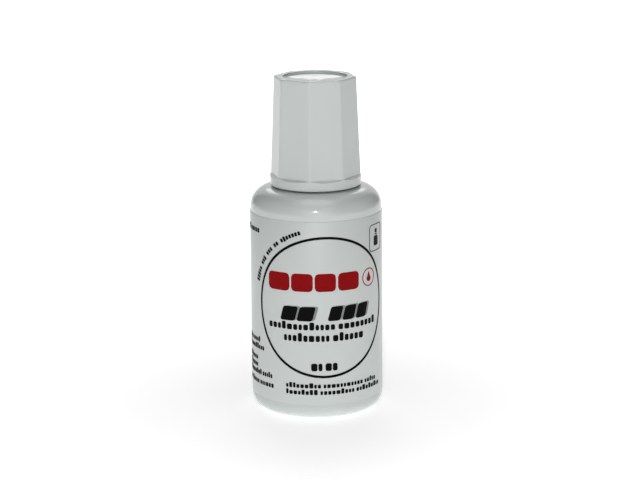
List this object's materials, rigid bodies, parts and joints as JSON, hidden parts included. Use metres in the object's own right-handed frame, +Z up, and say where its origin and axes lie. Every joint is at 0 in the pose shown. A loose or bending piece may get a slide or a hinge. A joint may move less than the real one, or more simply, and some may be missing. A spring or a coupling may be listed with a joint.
{
  "type": "correction fluid bottle",
  "caption": "Round white plastic bottle with a printed label and a tapering faceted screw cap that carries a brush, for correction fluid.",
  "frame": {"origin": "centre of the standing ring, on the surface that the bottle stands on", "axes": "+Z up along the bottle's axis, the front of the print faces -Y, +X to the right of someone who reads it"},
  "size_m": [0.0301, 0.0301, 0.076],
  "materials": {
    "bottle_plastic": "satin white blow-moulded polyethylene",
    "label_film": "satin white film",
    "black_ink": "printed ink",
    "red_ink": "printed ink",
    "grey_ink": "printed ink",
    "insert_plastic": "soft natural polyethylene",
    "ball_steel": "polished stainless steel",
    "white_fluid": "opaque white liquid, wet gloss",
    "foam": "closed-cell foam",
    "cap_plastic": "satin white moulded polypropylene",
    "stem_plastic": "smooth white polypropylene",
    "clip_metal": "bright metal strip",
    "nylon_bristle": "nylon filaments"
  },
  "bodies": {
    "bottle": {"bottle": "bottle_plastic", "label": "label_film", "print_black": "black_ink", "print_red": "red_ink", "print_grey": "grey_ink", "neck_wiper": "insert_plastic", "mixing_ball": "ball_steel", "correction_fluid": "white_fluid"},
    "liner": {"cap_liner": "foam"},
    "cap": {"cap_shell": "cap_plastic", "brush_stem": "stem_plastic", "bristle_clip": "clip_metal", "bristles": "nylon_bristle"}
  },
  "joints": [
    {"name": "cap_lift", "type": "slide", "parent": "bottle", "child": "liner", "axis": [0, 0, 1], "range_m": [0, 0.06]},
    {"name": "cap_turn", "type": "hinge", "parent": "liner", "child": "cap", "pos_m": [0, 0, 0.0636], "axis": [0, 0, 1], "range_deg": [0, 450]}
  ]
}
